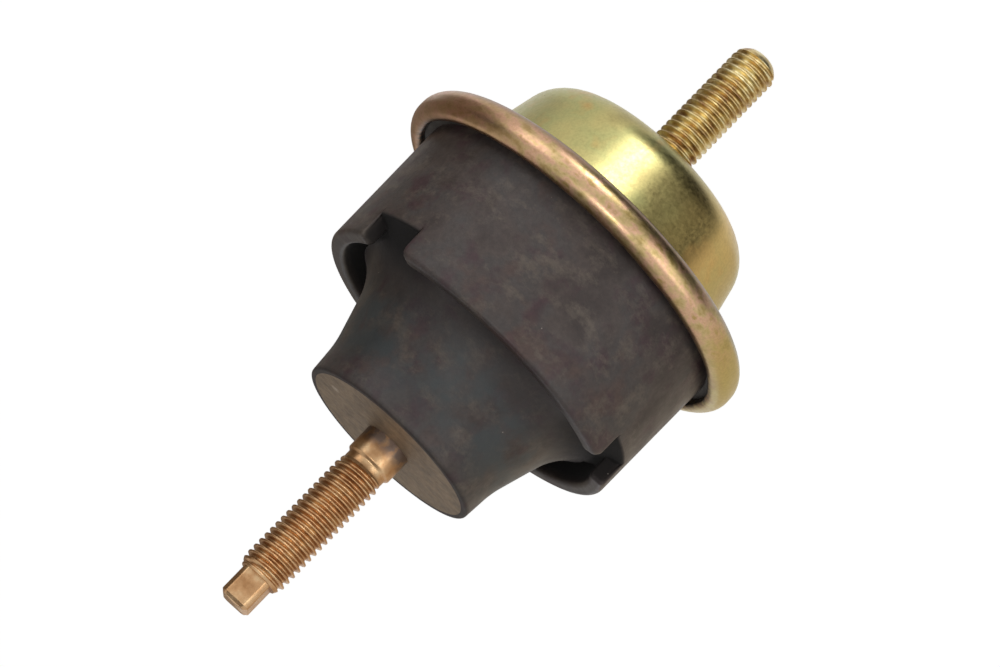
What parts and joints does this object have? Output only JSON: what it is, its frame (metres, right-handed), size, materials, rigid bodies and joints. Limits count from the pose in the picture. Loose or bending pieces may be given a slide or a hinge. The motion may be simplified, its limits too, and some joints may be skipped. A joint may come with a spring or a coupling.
{
  "type": "hydraulic engine mount",
  "caption": "Rubber and steel hydraulic engine mount: a threaded stud on each end, a skirted rubber spring and a crimped cup.",
  "frame": {"origin": "middle of the cup's flat seat, where the body stud leaves it", "axes": "+Z along the mount's axis, from the cup towards the engine stud; -Y is the side with the rubber stop flap"},
  "size_m": [0.0833, 0.0832, 0.152],
  "materials": {
    "stud_copper_zinc": "zinc plated, coppery yellow passivated",
    "stud_yellow_zinc": "zinc plated, yellow passivated",
    "cup_yellow_zinc": "zinc plated, yellow-green passivated",
    "core_metal": "matt brown-grey",
    "spring_rubber": "moulded, satin",
    "ring_steel": "bonding primer",
    "track_aluminium": "as cast",
    "seal_rubber": "moulded, matt"
  },
  "bodies": {
    "root": {"engine_stud": "stud_copper_zinc", "body_stud": "stud_yellow_zinc", "base_cup": "cup_yellow_zinc", "core_insert": "core_metal", "rubber_spring": "spring_rubber", "outer_ring": "ring_steel", "track_body": "track_aluminium", "track_plate": "ring_steel", "decoupler_disc": "seal_rubber", "diaphragm": "seal_rubber"}
  },
  "joints": []
}
